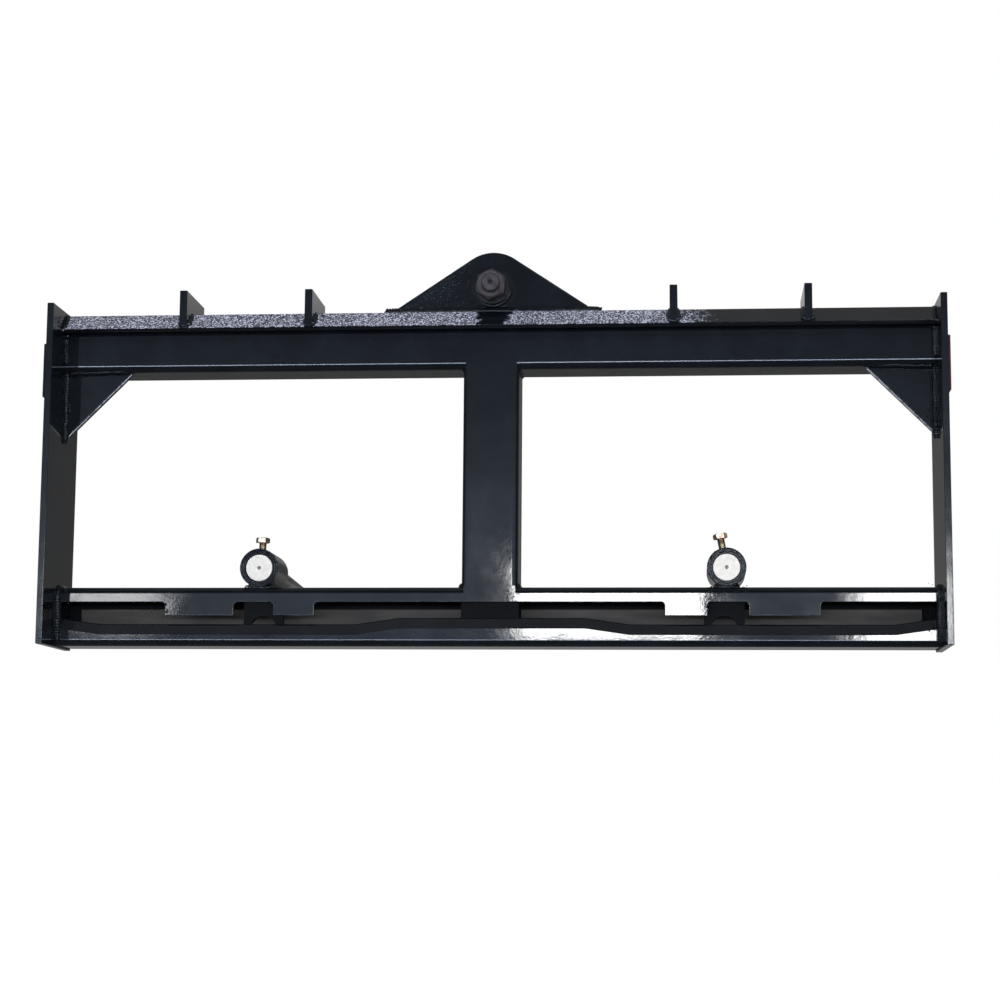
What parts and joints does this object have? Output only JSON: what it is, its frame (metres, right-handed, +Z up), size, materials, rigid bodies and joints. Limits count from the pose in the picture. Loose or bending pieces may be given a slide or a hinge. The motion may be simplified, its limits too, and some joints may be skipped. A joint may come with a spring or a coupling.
{
  "type": "skid steer spear frame attachment",
  "caption": "Welded quick-attach frame for a loader, with a centre post, hooked top rail, windowed bottom beam, side plates and removable bale spears held by set bolts and a nut.",
  "frame": {"origin": "on the loader-side face of the centre post, midway between the side plates and at mid height of them", "axes": "+X to the right seen from the loader, +Y away from the loader along the spears, +Z up"},
  "size_m": [1.156, 0.512, 0.5185],
  "materials": {
    "gloss_black_paint": "gloss",
    "lip_paint": "rough",
    "inner_grey_paint": "matt",
    "turned_steel": "turned",
    "yellow_zinc": "plated",
    "oxide_steel": "oxidised"
  },
  "bodies": {
    "frame": {"top_tube": "gloss_black_paint", "top_lip": "lip_paint", "centre_post": "gloss_black_paint", "upper_beam_channel": "gloss_black_paint", "lower_beam_channel": "gloss_black_paint", "beam_back_bar": "inner_grey_paint", "post_foot": "gloss_black_paint", "top_lug_outer_left": "gloss_black_paint", "top_lug_inner_left": "gloss_black_paint", "top_lug_inner_right": "gloss_black_paint", "top_lug_outer_right": "gloss_black_paint", "side_plate_left": "gloss_black_paint", "side_pad_left": "gloss_black_paint", "corner_gusset_left": "gloss_black_paint", "sleeve_saddle_left": "gloss_black_paint", "stabiliser_sleeve_left": "gloss_black_paint", "side_plate_right": "gloss_black_paint", "side_pad_right": "gloss_black_paint", "corner_gusset_right": "gloss_black_paint", "sleeve_saddle_right": "gloss_black_paint", "stabiliser_sleeve_right": "gloss_black_paint", "mount_plate_front": "gloss_black_paint", "mount_plate_rear": "gloss_black_paint", "top_sleeve": "gloss_black_paint"},
    "stabiliser_left": {"stabiliser_spear_left": "turned_steel"},
    "stabiliser_right": {"stabiliser_spear_right": "turned_steel"},
    "bolt_left": {"set_bolt_left": "yellow_zinc"},
    "bolt_right": {"set_bolt_right": "yellow_zinc"},
    "main_spear": {"top_spear": "turned_steel"},
    "washer": {"spear_washer": "gloss_black_paint"},
    "nut": {"spear_nut": "oxide_steel"}
  },
  "joints": [
    {"name": "stabiliser_left_slide", "type": "slide", "parent": "frame", "child": "stabiliser_left", "axis": [0, 1, 0], "range_m": [0, 0.065]},
    {"name": "stabiliser_right_slide", "type": "slide", "parent": "frame", "child": "stabiliser_right", "axis": [0, 1, 0], "range_m": [0, 0.065]},
    {"name": "bolt_left_travel", "type": "slide", "parent": "frame", "child": "bolt_left", "axis": [0.0297, 0, 0.9996], "range_m": [0, 0.005]},
    {"name": "bolt_right_travel", "type": "slide", "parent": "frame", "child": "bolt_right", "axis": [-0.1874, 0, 0.9823], "range_m": [-0.0045, 0.001]},
    {"name": "main_spear_slide", "type": "slide", "parent": "frame", "child": "main_spear", "axis": [0, 1, 0], "range_m": [0, 0.1]},
    {"name": "washer_slide", "type": "slide", "parent": "frame", "child": "washer", "axis": [0, -1, 0], "range_m": [0, 0.03]},
    {"name": "nut_turn", "type": "hinge", "parent": "washer", "child": "nut", "pos_m": [-0.002, -0.0181, 0.2475], "axis": [0, -1, 0], "range_deg": [0, 3600]}
  ],
  "couplings": [
    {"joint": "nut_turn", "follows": "washer_slide", "rad_per_m": 2094.4}
  ]
}
